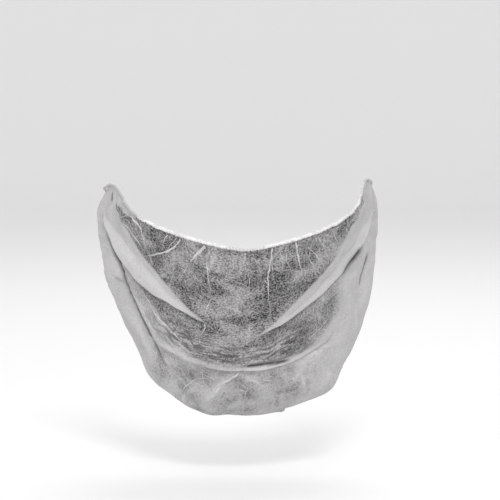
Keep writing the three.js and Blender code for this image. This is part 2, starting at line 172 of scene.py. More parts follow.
# Sharp creases that stand up as thin doubled ridges: radius, then corners as angle and share
RIDGES = (
    (0.95, ((-19, 0.003), (-23, 0.045), (-26, 0.085))),
    (0.22, ((-26, 0.085), (-28.5, 0.14), (-31, 0.205))),
    (0.3, ((-15, 0.0), (-17, 0.03), (-18.5, 0.05))),
    (0.34, ((-18.5, 0.035), (-17.5, 0.08), (-16.5, 0.13), (-14.5, 0.21))),
    (0.28, ((-14.5, 0.2), (-16.5, 0.25), (-17.5, 0.3))),
    (0.4, ((-0.3, 0.0), (-0.6, 0.025), (-1.5, 0.05))),
    (0.22, ((0.5, 0.07), (1.2, 0.1), (1, 0.135))),
    (0.4, ((13.5, 0.0), (11, 0.07), (10, 0.11), (10, 0.18), (10.5, 0.28))),
    (0.28, ((8, 0.105), (9, 0.118), (10, 0.13))),
    (0.5, ((26.5, 0.0), (27, 0.065), (28, 0.15))),
    (0.3, ((30.5, 0.045), (34.5, 0.13), (41.5, 0.27))),
    (0.34, ((32.5, 0.035), (37.5, 0.105), (43.5, 0.24))),
    (0.28, ((41.5, 0.08), (46.5, 0.21))),
    (0.34, ((54, 0.02), (60, 0.15))),
    (0.24, ((47, 0.01), (49.5, 0.09), (51, 0.13))),
    (0.6, ((-32.5, 0.003), (-34.5, 0.04), (-40, 0.095), (-46.5, 0.15), (-53, 0.225))),
    (0.3, ((-39.5, 0.005), (-41, 0.045), (-41.5, 0.095))),
    (0.55, ((-72, 0.115), (-65, 0.02), (-59.5, 0.025), (-55, 0.06), (-52, 0.115), (-51.5, 0.2))),
    (0.45, ((-74.5, 0.15), (-66.5, 0.125), (-60, 0.135), (-54.5, 0.16), (-51.5, 0.195))),
    (0.3, ((-70, 0.085), (-64, 0.065), (-60, 0.09), (-57, 0.13))),
    (0.4, ((-18, 0.325), (-16.5, 0.35), (-17, 0.385))),
    (0.65, ((7, 0.49), (3, 0.545), (-3, 0.575), (-8, 0.635), (-9, 0.69))),
    (0.4, ((4, 0.545), (9.5, 0.575), (13, 0.61))),
    (0.3, ((-11, 0.552), (-6.5, 0.565), (-3.2, 0.572))),
    (0.3, ((19.5, 0.575), (20.5, 0.6), (22, 0.63))),
    (0.3, ((22, 0.575), (24, 0.625))),
    (0.34, ((28, 0.56), (25, 0.585), (21, 0.612))),
    (0.34, ((26, 0.59), (26, 0.63), (27, 0.685))),
    (0.36, ((33, 0.592), (35, 0.64), (38, 0.71))),
    (0.3, ((-29.5, 0.555), (-27.5, 0.57), (-26, 0.6))),
    (0.26, ((4, 0.66), (5, 0.61), (7, 0.58))),
    (0.36, ((-34, 0.54), (-33, 0.58), (-34, 0.63))),
    (0.4, ((-21.5, 0.67), (-18.5, 0.615), (-12.5, 0.565))),
    (0.3, ((-28, 0.635), (-24, 0.665), (-22, 0.69))),
    (0.4, ((-51.5, 0.385), (-44.5, 0.395), (-36.5, 0.415), (-29, 0.425), (-23.5, 0.44), (-19.5, 0.45))),
    (0.22, ((42, 0.43), (36, 0.45), (27, 0.46))),
)

# Valleys and slits darkened with painted shade, and broad light ridges, whose darkness is below
# nothing: width, height and darkness, then corners as angle and share
JAW_VALLEY = ((-74, 0.4), (-67.5, 0.395), (-62.5, 0.405), (-55, 0.435), (-48, 0.46), (-43, 0.475))
CHIN_LEFT = ((-30.5, 0.51), (-25.5, 0.5), (-21, 0.495), (-15, 0.5), (-9, 0.505), (-2.5, 0.515), (3, 0.52))
VALLEYS = (
    (1.6, -1.6, 1.0, (*JAW_VALLEY, (-37.5, 0.495), (-34, 0.525), (-32, 0.55), (-30.5, 0.57))),
    (0.9, -0.5, 0.4, ((-61.5, 0.505), (-58.5, 0.475), (-55, 0.435))),
    (1.15, -1.7, 1.5, ((6, 0.504), (11.5, 0.505), (16, 0.511), (21.5, 0.516))),
    (2.0, -1.7, 1.25, ((66, 0.372), (61.5, 0.365), (58, 0.36), (53, 0.362))),
    (1.1, -1.3, 1.2, ((67, 0.445), (63.5, 0.467), (60, 0.48), (57.5, 0.49))),
    (1.2, -1.0, 0.9, ((-87, 0.085), (-85.5, 0.12), (-84, 0.16))),
    (1.3, 0.4, -0.6, ((-52, 0.42), (-47.5, 0.435), (-42.5, 0.45), (-37.5, 0.475), (-32.5, 0.495))),
    (2.1, 0.5, -0.65, CHIN_LEFT),
    (1.8, 0.4, -0.5, ((6.5, 0.527), (14, 0.537), (21, 0.54), (31, 0.54), (42, 0.57))),
    (1.2, 0.4, -0.5, ((-28.5, 0.56), (-26.5, 0.575), (-24.5, 0.59))),
    (1.4, 0.6, -0.5, ((-20, 0.7), (-19, 0.655), (-15, 0.61))),
    (1.4, 0.6, -0.5, ((-11.5, 0.67), (-6.5, 0.605), (-3.5, 0.575), (3, 0.53))),
    (1.2, 0.4, -0.4, ((-25, 0.595), (-21, 0.61), (-18.5, 0.62))),
    (1.4, 0.5, -0.4, ((4, 0.545), (9.5, 0.575), (13, 0.61))),
    (1.6, 0.6, -0.5, ((28, 0.56), (25, 0.585), (21, 0.612))),
    (1.6, 0.5, -0.4, ((26, 0.59), (26, 0.63), (27, 0.685))),
    (1.8, 0.6, -0.4, ((33, 0.592), (35, 0.64), (38, 0.71))),
    (3.2, -0.7, 0.3, ((-18, 0.57), (-14, 0.585))),
    (3.2, -0.7, 0.25, ((-17, 0.66), (-14, 0.7))),
    (3.4, -0.6, 0.25, ((6, 0.62), (9, 0.65))),
)

# Where the cloth is drawn over the face, so that one thin layer is stretched there: share, the angle
# where it is half stretched, the angles of its left and right limits, and how far it is stretched
STRETCHED = (
    (0.0, -61, -61, 84, 1.0),
    (0.03, -66, -66, 76, 1.0),
    (0.045, -74, -74, 68, 1.0),
    (0.075, -79, -79, 60, 1.0),
    (0.105, -78, -78, 57, 1.0),
    (0.15, -66, -66, 52, 1.0),
    (0.205, -52, -52, 47, 1.0),
    (0.24, -42, -42, 35, 1.0),
    (0.275, -34, -34, 22, 1.0),
    (0.31, -24, -24, 11, 1.0),
    (0.328, -16, -16, 5, 1.0),
    (0.338, -66, -66, 51, 0.95),
    (0.375, -64, -54, 49, 0.95),
    (0.405, -60, -38, 47, 0.9),
    (0.43, -54, -28, 45, 0.9),
    (0.46, -46, -18, 42, 0.85),
    (0.475, -42, -15, 37, 0.8),
    (0.495, -36, -20, 31, 0.7),
    (0.52, -34, -30, 28, 0.5),
    (0.55, -32, -32, 26, 0.5),
    (0.65, -34, -34, 28, 0.42),
    (0.72, -34, -34, 28, 0.36),
    (0.8, -30, -30, 26, 0.28),
    (1.0, -30, -30, 30, 0.3),
)

# The web's four sets of filaments: direction in degrees, how far they are drawn out, shift and scale
FILAMENTS = ((8, 3.2, 0.011, 1.0), (52, 2.6, 0.023, 1.15), (97, 2.8, 0.037, 0.95), (141, 2.4, 0.051, 1.25))
FIBRE_HEIGHT = 0.0002

# The set, in metres: a floor that curves up to a low wall all round, lights and camera
FLOOR_Z = -0.16
FLOOR_MIDDLE = 0.4
FLOOR_FLAT = 2.6
FLOOR_BEND = 0.8
FLOOR_BEND_STEPS = 16
FLOOR_WALL = 1.0
FLOOR_SIDES = 96
FLOOR_TONE = 0.86
WORLD_STRENGTH = 0.82
LIGHT_TARGET = (0, 0.03, -0.03)
# name, place, size and power
LIGHTS = (
    ("key", (0.25, -1.52, 1.25), 0.6, 15.9),
    ("fill", (-1.3, -1.3, 0.5), 1.2, 4.5),
    ("back", (0.2, 1.0, 1.3), 1.0, 6),
)
CAMERA_TARGET = (0.0068, 0, 0)
CAMERA_AWAY = 1.6
CAMERA_LIFT = 5  # degrees above the level
CAMERA_LENS = 169.4


# Curves and blends


def blend(x, low, high):
    """Rises smoothly from 0 at low to 1 at high."""
    t = np.clip((x - low) / (high - low), 0, 1)
    return t * t * (3 - 2 * t)


def fade(x, low, high):
    """Falls smoothly from 1 at low to 0 at high."""
    return 1 - blend(x, low, high)


def bell(x, power=2):
    """Falls from 1 at 0 towards 0 on both sides."""
    return np.exp(-(np.abs(x) ** power))


def draw(rng, *ranges):
    """One random number from each range."""
    return [rng.uniform(low, high) for low, high in ranges]


SWAG_AT = np.array([row[0] for row in SWAGS], float)
SWAG_VALUES = np.array([(*row[1:5], *row[5], *row[6]) for row in SWAGS], float)


def swag_values(at):
    """The swags' numbers at any share, on a smooth curve with a corner at the bottom fold."""
    last = len(SWAG_AT) - 1
    i = np.clip(np.searchsorted(SWAG_AT, at, side="right") - 1, 0, last - 1)
    values = SWAG_VALUES

    def rise(a, b):
        return (values[b] - values[a]) / (SWAG_AT[b] - SWAG_AT[a])[:, None]

    before = np.maximum(i - 1, 0)
    after = np.minimum(i + 2, last)
    own = rise(i, i + 1)
    plain_low = (i == 0) | (i == CREASED_SWAG)
    plain_high = (i + 1 == last) | (i + 1 == CREASED_SWAG)
    slope_low = np.where(plain_low[:, None], own, rise(before, i + 1))
    slope_high = np.where(plain_high[:, None], own, rise(i, after))
    span = (SWAG_AT[i + 1] - SWAG_AT[i])[:, None]
    t = (at - SWAG_AT[i])[:, None] / span
    return (
        values[i] * (1 + 2 * t) * (1 - t) ** 2
        + values[i + 1] * (3 - 2 * t) * t**2
        + span * (slope_low * t * (1 - t) ** 2 - slope_high * (1 - t) * t**2)
    )


def swag_radius(turn, middle, ends):
    """How far the swag lies from its middle in each direction, found by halving the range."""
    soft = MIDDLE_SOFT**middle
    whole = np.hypot(1, MIDDLE_SOFT) ** middle - soft
    low = np.full(turn.shape, 0.5)
    high = np.full(turn.shape, 1.5)
    for _ in range(HALVINGS):
        radius = (low + high) / 2
        out = (np.hypot(radius * np.sin(turn), MIDDLE_SOFT) ** middle - soft) / whole
        over = out + np.maximum(radius * np.cos(turn), 0) ** ends > 1
        high = np.where(over, radius, high)
        low = np.where(over, low, radius)
    return low


def smooth_points(angle, at):
    """Points of the pouch before its folds, in millimetres."""
    angle, at = np.broadcast_arrays(np.asarray(angle, float), np.asarray(at, float))
    shape = angle.shape
    angle, at = angle.ravel(), at.ravel()
    v = swag_values(at)
    left = angle < 0
    side = np.where(left, -1.0, 1.0)
    turn = np.minimum(np.abs(np.radians(angle)), math.pi / 2)
    reach = POUCH_HALF_WIDTH * np.where(left, v[:, 4], v[:, 7])
    middle = np.where(left, v[:, 5], v[:, 8])
    ends = np.where(left, v[:, 6], v[:, 9])
    shift = POUCH_HALF_WIDTH * v[:, 2]
    fall = HEM_RADIUS + HEM_GAP + POUCH_DROP * v[:, 0]
    back = POUCH_DEPTH * v[:, 1]
    bow = END_BULGE * np.sin(math.pi * at)
    ear_x = np.where(left, LEFT_EAR_OUT, RIGHT_EAR_OUT) + bow
    ear_y = EAR_BACK + END_BACK * at + bow
    ear_z = EAR_RISE + side * EAR_LEAN - END_DROP * at
    radius = swag_radius(turn, middle, ends)
    out = radius * np.sin(turn)
    down = radius * np.cos(turn)
    height = ear_z + fall
    ear_round = np.where(left, LEFT_EAR_ROUND, RIGHT_EAR_ROUND)
    below_ear = np.clip(height * down / ear_round, 0, 1)
    drawn_in = 1 - np.sqrt(1 - (1 - below_ear) ** 2)
    across = reach * out - (reach - ear_x) * drawn_in
    beyond = blend(side * across, NOTCH_OUT - NOTCH_RUN / 2, NOTCH_OUT + NOTCH_RUN / 2)
    near_bottom = bell((at - BOTTOM_AT) / NOTCH_REACH) * blend(np.cos(turn), 0.45, 0.75)
    x = side * across + shift * down**2 * (1 - out)
    y = ear_y + (back - ear_y) * np.maximum(np.cos(turn), 0) ** v[:, 3]
    z = ear_z - height * down + NOTCH_STEP * beyond * near_bottom
    return np.stack([x, y, z], -1).reshape(*shape, 3)


def unit(vectors):
    return vectors / np.maximum(np.linalg.norm(vectors, axis=-1, keepdims=True), 1e-12)


def outward(angle, at):
    middle = np.clip(angle, -LAST_ANGLE, LAST_ANGLE)
    across = smooth_points(middle + SLOPE_ANGLE, at) - smooth_points(middle - SLOPE_ANGLE, at)
    below = smooth_points(middle, np.minimum(at + SLOPE_SHARE, 1))
    down = below - smooth_points(middle, np.maximum(at - SLOPE_SHARE, 0))
    return unit(np.cross(down, across))


def cloth_length(angle, at):
    """Millimetres of cloth for one whole share, there."""
    step = smooth_points(angle, at + LENGTH_SHARE) - smooth_points(angle, at - LENGTH_SHARE)
    return np.linalg.norm(step, axis=-1) / (2 * LENGTH_SHARE)


# Folds


def lap_at(rows, angle):
    lap = np.zeros(angle.shape)
    for (a, low), (b, high) in zip(rows, rows[1:]):
        inside = (angle >= a) & (angle < b)
        lap = np.where(inside, low + (high - low) * blend(angle, a, b), lap)
    return lap


def fold_section(lap):
    """Run and rise of a fold's points, for every column."""
    turning = math.pi * blend(lap, 0, FOLD_START)
    flat = np.maximum(lap - FOLD_START, 0)
    arc = math.pi * LAYER_PITCH / 2 / TURN_STEPS
    runs = [np.zeros(lap.shape)]
    rises = [np.zeros(lap.shape)]
    bend = [(turning * (i + 0.5) / TURN_STEPS, arc) for i in range(TURN_STEPS)]
    back = [(turning, (flat + arc / 2) / 2)] * 2
    for heading, length in (*bend, *back, *reversed(bend)):
        runs.append(runs[-1] + length * np.cos(heading))
        rises.append(rises[-1] - length * np.sin(heading))
    run = np.array(runs)
    rise = np.array(rises)
    return run - run[-1] / 2, rise - rise[-1] / 2


def cloth_sections(angle):
    """For every column: the rows' share and rise, and how far each lies in a doubled band."""
    rows = []
    nothing = np.zeros(angle.shape)
    start = {"at": nothing, "rise": nothing, "lap": nothing}

    def doubled(lap):
        return blend(lap, *DOUBLED_LAPS)

    def sink(fold, away):
        return fold["rise"] * fade(away, fold["lap"], fold["lap"] + LAYER_RAMP)

    def stretch(start, end, steps, last=False):
        length = cloth_length(angle, (start["at"] + end["at"]) / 2) * (end["at"] - start["at"])
        for i in range(1 if rows else 0, steps + (1 if last else 0)):
            share = i / steps
            at = start["at"] + (end["at"] - start["at"]) * share
            to_lip = length * (1 - share)
            in_band = fade(to_lip, end["lap"] - LIP_SOFT, end["lap"] + LIP_SOFT)
            rise = sink(start, length * share) + sink(end, to_lip)
            rows.append((at, rise, doubled(end["lap"]) * in_band))

    for steps, (at, laps) in zip(STRETCH_STEPS, FOLDS):
        scale = cloth_length(angle, np.full(angle.shape, float(at)))
        room = FOLD_ROOM * scale
        lap = np.clip(lap_at(laps, angle), 0, np.maximum(room - 3 * LAYER_PITCH, 0))
        run, rise = fold_section(lap)
        fit = np.minimum(1, room / (run.max(0) - run.min(0)))
        point_at = at + fit * run / scale
        stretch(start, {"at": point_at[0], "rise": rise[0], "lap": lap}, steps)
        for k in range(len(run)):
            rows.append((point_at[k], rise[k], doubled(lap) * (1.0 if k <= TURN_STEPS else UNDER_BAND)))
        start = {"at": point_at[-1], "rise": rise[-1], "lap": lap}
    bottom = {"at": nothing + BOTTOM_AT, "rise": nothing, "lap": nothing}
    upper = round(STRETCH_STEPS[-1] * BOTTOM_SHARE)
    stretch(start, bottom, upper)
    rows.append((bottom["at"], nothing, nothing))
    stretch(bottom, {**bottom, "at": nothing + 1}, STRETCH_STEPS[-1] - upper, last=True)
    return tuple(np.array(part) for part in zip(*rows))


# Ruffles, creases and crumples


def gather(angle, from_hem):
    """Broad ruffles and small puckers beside the hem, uneven along it."""
    along = np.radians(angle) * (RIGHT_EAR_OUT + EAR_BACK) / 2
    off_ears = fade(np.abs(angle), *EAR_FADE)
    near = bell(from_hem / GATHER_REACH) * blend(from_hem, -1, 3)
    broad = np.sin(2 * math.pi * along / GATHER_PITCH + 1.3 * np.sin(angle / 11))
    fine = np.sin(2 * math.pi * along / PUCKER_PITCH + 2.6 * np.sin(angle / 5.3) + 1.1 * np.sin(angle / 2.1))
    uneven = 0.6 + 0.4 * np.sin(angle / 3.7 + 1)
    pucker = PUCKER_DEPTH * fine * uneven * bell(from_hem / PUCKER_REACH)
    return off_ears * (GATHER_DEPTH * broad * near + pucker * blend(from_hem, -1, 2))


def fan(angle, at):
    """Pleats that spread from each ear and fade towards the face."""
    window = blend(np.abs(angle), *FAN_IN) * fade(np.abs(angle), *FAN_OUT)
    front = fade(at, *FAN_BELOW)
    wave = np.sin(2 * math.pi * FAN_COUNT * (at + 0.04))
    return FAN_DEPTH * wave * window * front * blend(at, 0, 0.1)


def line_strength(points, line, width):
    """How near the points are to a line of points, as the strongest of its tapered dots."""
    strength = np.zeros(len(points))
    last = len(line) - 1
    for n, dot in enumerate(line):
        taper = math.sin(math.pi * (n + 1) / (last + 2)) ** 0.7
        away = np.sum((points - dot) ** 2, -1) / width**2
        strength = np.maximum(strength, taper * np.exp(-away))
    return strength


def broad_creases(points, at):
    flat = points.reshape(-1, 3)
    total = np.zeros(len(flat))
    for angle_a, at_a, angle_b, at_b, width, height in BROAD_CREASES:
        share = np.linspace(0, 1, 11)
        line = smooth_points(angle_a + (angle_b - angle_a) * share, at_a + (at_b - at_a) * share)
        total += height * line_strength(flat, line, width)
    return total.reshape(at.shape) * fade(at, BOTTOM_AT, 0.8)


def segment_distance(points, a, b):
    along = b - a
    share = np.clip(((points - a) @ along) / max(along @ along, 1e-9), 0, 1)
    return np.linalg.norm(points - a - share[:, None] * along, axis=-1), share


def smooth_line(corners, steps):
    """A curve through the corners, with that many steps between two of them."""
    corners = np.asarray(corners, float)
    padded = np.concatenate([2 * corners[:1] - corners[1:2], corners, 2 * corners[-1:] - corners[-2:-1]])
    line = []
    for a, b, c, d in zip(padded, padded[1:], padded[2:], padded[3:]):
        for n in range(steps):
            t = n / steps
            square = (2 * a - 5 * b + 4 * c - d) * t**2
            cube = (3 * b - a - 3 * c + d) * t**3
            line.append(0.5 * (2 * b + (c - a) * t + square + cube))
    return np.array([*line, corners[-1]])


def valleys(points, at):
    """The rise of the valleys, slits and broad ridges, and how much darker the cloth is in them: painted
    shade in the valleys and slits, lighter on the ridges.
    """
    flat = points.reshape(-1, 3)
    rise = np.zeros(len(flat))
    dark = np.zeros(len(flat))
    for width, height, darkness, corners in VALLEYS:
        way = smooth_line(corners, 4)
        line = smooth_points(way[:, 0], way[:, 1])
        lengths = np.linalg.norm(np.diff(line, axis=0), axis=-1)
        whole = lengths.sum()
        run = 0.0
        best = np.zeros(len(flat))
        for n, length in enumerate(lengths):
            distance, share = segment_distance(flat, line[n], line[n + 1])
            along = (run + share * length) / whole
            run += length
            taper = np.clip(np.minimum(along + 0.1, 1.1 - along) * 4, 0, 1)
            best = np.maximum(best, taper * bell(distance / width, 1.6))
        # darkness above nothing is painted shade along a valley or slit
        rise += height * best
        dark += darkness * best
    return rise.reshape(at.shape), np.clip(dark, -1, 1).reshape(at.shape)


def crumples(u, v, stretched):
    """Small creases with random places and directions, sharper where the cloth hangs free."""
    rng = np.random.default_rng(CRUMPLE_SEED)
    rise = np.zeros(u.shape)
    density_and_painted_shade = np.zeros(u.shape)
    for _ in range(CRUMPLES):
        centre_u, centre_v, angle = draw(rng, (u.min(), u.max()), (0, v.max()), (0, math.pi))
        length, width, height, bend = draw(rng, (4, 16), (0.6, 1.5), (-0.3, 0.42), (-0.02, 0.02))
        du = u - centre_u
        dv = v - centre_v
        along = du * math.cos(angle) + dv * math.sin(angle)
        off = -du * math.sin(angle) + dv * math.cos(angle) + bend * along**2
        ridge = bell(off / width, 1.4) * bell(along / length, 4)
        rise += height * ridge
        density_and_painted_shade += np.clip(height * 1.1, 0, 1) * ridge
    reach = np.abs(u[0]).max()
    for start in np.arange(-reach + 6, reach - 6, HEM_CRUMPLE_PITCH):
        start += rng.uniform(-2, 2)
        slant, length, width, height = draw(rng, (-0.45, 0.45), (5, 22), (0.5, 0.8), (0.15, 0.5))
        off = u - start - slant * v + 0.6 * np.sin(v / 6 + start)
        ridge = bell(off / width, 1.4) * bell(v / length, 3) * blend(v, -1, 2)
        rise += height * ridge
        density_and_painted_shade += height * 0.5 * ridge
    slow = np.zeros(u.shape)
    for _ in range(SWELLS):
        pitch, angle, phase = draw(rng, (14, 42), (0, math.pi), (0, 2 * math.pi))
        slow += np.sin(2 * math.pi * (u * math.cos(angle) + v * math.sin(angle)) / pitch + phase)
    free = 1 - 0.55 * stretched
    broad = 0.1 + 0.14 * blend(v, 100, 130) * fade(np.abs(u), 50, 75)
    return free * rise + broad * slow, density_and_painted_shade * (0.6 + 0.4 * stretched)


def stretched_at(angle, at):
    """How far the cloth is stretched over the face, from 0 to 1."""
    rows = np.array(STRETCHED, float)
    half, left, right, amount = (np.interp(at, rows[:, 0], rows[:, n]) for n in (1, 2, 3, 4))
    soft = 2.5 + 3.5 * blend(at, 0.33, 0.35)
    half_inside = blend(angle, half - 1.5, half + 1.5)
    inside = blend(angle, left - 2.5, left + 2.5)
    before_right = fade(angle, right - soft, right + soft)
    return amount * (0.4 * half_inside + 0.6 * inside) * before_right


def running_length(points, axis):
    """Millimetres from the grid's first row or column to each point."""
    step = np.linalg.norm(np.diff(points, axis=axis), axis=-1)
    zero = np.zeros_like(np.take(step, [0], axis=axis))
    return np.concatenate([zero, np.cumsum(step, axis=axis)], axis=axis)


def cloth_grid():
    """The cloth's middle surface as rows by columns, its own coordinates in millimetres, and its masks."""
    share = np.linspace(-1, 1, COLUMNS + 1)
    # the columns lie closer together towards the ears
    angle = 90 * share * (1 + 0.2 * (1 - share**2))
    at, rise, band = cloth_sections(angle)
    angles = np.broadcast_to(angle, at.shape)
    on = smooth_points(angles, at)
    v = running_length(on, 0)
    u = running_length(on, 1)
    u = u - u[:, [COLUMNS // 2]]
    whole = cloth_length(angle, np.full(angle.shape, 0.5))
    ruffle = gather(angles, at * whole) + gather(angles, (1 - at) * whole)
    stretched = stretched_at(angles, at)
    sharp_rise, dark = valleys(on, at)
    small_rise, small_dense = crumples(u, v, stretched)
    off_hem = blend(at, 0, 0.03) * fade(at, 0.97, 1)
    inside = off_hem * fade(np.abs(angles), 80, 88)
    lift = rise + ruffle + fan(angles, at) + broad_creases(on, at) + (sharp_rise + small_rise) * inside
    points = on + outward(angles, at) * lift[..., None]
    # the mask holds the crumples' density less the painted shade of the valleys and slits
    density_and_painted_shade = np.clip(small_dense, 0, 1) - dark
    chin = bell((at - CHIN_AT) / CHIN_REACH) * fade(np.abs(angles + 4), *CHIN_ANGLES)
    low = blend(at, *LOW_SHARES) * fade(np.abs(angles), *LOW_ANGLES)
    masks = {"band": band, "stretched": stretched, "density_and_painted_shade": density_and_painted_shade, "chin": chin, "low": low}
    return points, {**masks, "u": u, "v": v, "at": at, "angle": angles}


# Meshes


def placed(name, data):
    thing = bpy.data.objects.new(name, data)
    bpy.context.scene.collection.objects.link(thing)
    return thing


def new_object(name, vertices, edges=(), faces=()):
    """A piece of the scene, from points in metres."""
    mesh = bpy.data.meshes.new(name)
    mesh.from_pydata(np.asarray(vertices).tolist(), edges, faces)
    mesh.update()
    mesh.validate()
    mesh.shade_smooth()
    return placed(name, mesh)


def set_attribute(piece, name, values):
    """Numbers or vectors at the piece's points, for its material or for Geometry Nodes."""
    values = np.asarray(values, np.float32)
    kind, field = ("FLOAT", "value") if values.ndim == 1 else ("FLOAT_VECTOR", "vector")
    layer = piece.data.attributes.new(name, kind, "POINT")
    layer.data.foreach_set(field, values.ravel())


def grid_normals(points):
    across = np.empty_like(points)
    across[:, 1:-1] = points[:, 2:] - points[:, :-2]
    across[:, 0] = points[:, 1] - points[:, 0]
    across[:, -1] = points[:, -1] - points[:, -2]
    down = np.empty_like(points)
    down[1:-1] = unit(points[2:] - points[1:-1]) + unit(points[1:-1] - points[:-2])
    down[0] = points[1] - points[0]
    down[-1] = points[-1] - points[-2]
    return unit(np.cross(down, across))


def make_cloth():
    """The cloth as one closed wall, with its grid's points and masks, which run on into the hem."""
    points, masks = cloth_grid()
    normal = grid_normals(points)
    low_edge = points[:1] + unit(points[:1] - points[1:2]) * HEM_LAP
    high_edge = points[-1:] + unit(points[-1:] - points[-2:-1]) * HEM_LAP
    points = np.concatenate([low_edge, points, high_edge])
    normal = np.concatenate([normal[:1], normal, normal[-1:]])
    masks = {key: np.concatenate([value[:1], value, value[-1:]]) for key, value in masks.items()}
    masks["v"][0] -= HEM_LAP
    masks["v"][-1] += HEM_LAP
    rows, columns = points.shape[:2]
    half = CLOTH_WALL / 2
    vertices = np.concatenate([points + normal * half, points - normal * half]).reshape(-1, 3)
    outer = np.arange(rows * columns).reshape(rows, columns)
    inner = outer + rows * columns
    faces = []
    for corners in (
        (outer[:-1, :-1], outer[1:, :-1], outer[1:, 1:], outer[:-1, 1:]),
        (inner[:-1, :-1], inner[:-1, 1:], inner[1:, 1:], inner[1:, :-1]),
        (outer[0, :-1], outer[0, 1:], inner[0, 1:], inner[0, :-1]),
        (outer[-1, 1:], outer[-1, :-1], inner[-1, :-1], inner[-1, 1:]),
        (outer[1:, 0], outer[:-1, 0], inner[:-1, 0], inner[1:, 0]),
        (outer[:-1, -1], outer[1:, -1], inner[1:, -1], inner[:-1, -1]),
    ):
        faces += np.stack(corners, -1).reshape(-1, 4).tolist()
    cloth = new_object("cloth_pouch", vertices * MM, faces=faces)
    for key in ("band", "stretched", "density_and_painted_shade", "chin", "low"):
        set_attribute(cloth, key, np.tile(masks[key].ravel(), 2))
    mesh = cloth.data
    uv = np.tile(np.stack([masks["u"].ravel(), masks["v"].ravel()], -1) * MM, (2, 1))
    corners = np.empty(len(mesh.loops), np.int32)
    mesh.loops.foreach_get("vertex_index", corners)
    uv_map = mesh.uv_layers.new(name="cloth")
    uv_map.data.foreach_set("uv", uv[corners].astype(np.float32).ravel())
    return cloth, points, masks


def edge_loop(points):
    """The hem's centre line round the cloth's edge, in order, as points in millimetres."""
    inner = points[1:-1]

    def beside(edge, inside):
        return edge + unit(edge - inside) * (HEM_RADIUS + HEM_GAP)

    upper = beside(inner[0], inner[1])
    rear = beside(inner[-1], inner[-2])[::-1]
    keep = np.round(np.linspace(0, len(inner) - 1, 14)).astype(int)[2:-2]
    right_end = beside(inner[keep, -1], inner[keep, -2])
    left_end = beside(inner[keep, 0], inner[keep, 1])[::-1]
    return np.concatenate([upper, right_end, rear, left_end])


def resample_closed(line, count):
    """Evenly spaced points on a closed line, and the line's length."""
    closed = np.concatenate([line, line[:1]])
    run = np.concatenate([[0], np.cumsum(np.linalg.norm(np.diff(closed, axis=0), axis=-1))])
    where = np.linspace(0, run[-1], count, endpoint=False)
    return np.stack([np.interp(where, run, closed[:, k]) for k in range(3)], -1), run[-1]


def soften_closed(line, times):
    for _ in range(times):
        line = (np.roll(line, 1, 0) + 2 * line + np.roll(line, -1, 0)) / 4
    return line


def hem_veil_and_shade(line):
    """How far the hem's white is greyed: by painted shade, most at the left ear and less at the right one,
    and by thin cloth that veils it at the lip.
    """
    high = blend(line[:, 2], *EAR_HEIGHTS)
    left = 0.85 * blend(-line[:, 0], *HEM_SHADE_LEFT)
    right = 0.6 * blend(line[:, 0], *HEM_SHADE_RIGHT)
    lip = 0.5 * fade(np.abs(line[:, 0] - VEIL_LIP_MIDDLE), *VEIL_LIP) * (line[:, 1] < 20)
    return np.maximum(high * np.maximum(left, right), lip)


def make_hem(points):
    """The bunched hem as one closed loop, with its centre line and that line's length."""
    line, _ = resample_closed(edge_loop(points), HEM_STEPS)
    line, whole = resample_closed(soften_closed(line, HEM_SOFTENINGS), HEM_STEPS)
    along = unit(np.roll(line, -1, 0) - np.roll(line, 1, 0))
    across = np.empty_like(line)
    spare = np.array([0.0, 1.0, 0.0])
    for n in range(HEM_STEPS):
        spare = spare - along[n] * (spare @ along[n])
        spare = spare / np.linalg.norm(spare)
        across[n] = spare
    up = np.cross(along, across)
    closing = math.atan2(across[-1] @ up[0], across[-1] @ across[0])
    run = np.arange(HEM_STEPS) / HEM_STEPS

    def wave(count, shift=0.0):
        return np.sin(2 * math.pi * count * run + shift)[:, None]

    bunches = round(whole / PLEAT_PITCH)
    phase = (2 * math.pi * bunches * run)[:, None]
    # whole numbers of waves round the hem, so that its ends meet
    drift = 1.4 * wave(37) + 0.8 * wave(61, 1)
    uneven = 0.7 + 0.3 * wave(23, 2)
    turn = 2 * math.pi * np.arange(HEM_SIDES) / HEM_SIDES
    angle = turn[None, :] - closing * run[:, None]
    twist = 0.55 * np.sin(turn[None, :] + 0.4)
    bunch = np.sin(phase + drift + twist)
    fine = np.sin(2.37 * phase + 1.7 * drift - 1.3 * twist)
    thin = 1 - 0.3 * blend(np.abs(line[:, 0]), 50, 86) * blend(line[:, 2], *EAR_HEIGHTS)
    radius = (HEM_RADIUS * 0.86 + PLEAT_DEPTH * uneven * bunch + 0.1 * fine) * thin[:, None]
    ring = across[:, None] * np.cos(angle)[..., None] + up[:, None] * np.sin(angle)[..., None]
    vertices = line[:, None] + ring * radius[..., None]
    index = np.arange(HEM_STEPS * HEM_SIDES).reshape(HEM_STEPS, HEM_SIDES)
    ahead = np.roll(index, -1, 0)
    faces = np.stack([index, np.roll(index, -1, 1), np.roll(ahead, -1, 1), ahead], -1)
    hem = new_object("gathered_hem", vertices.reshape(-1, 3) * MM, faces=faces.reshape(-1, 4).tolist())
    set_attribute(hem, "veil_and_shade", np.repeat(hem_veil_and_shade(line), HEM_SIDES))
    return hem, line, whole


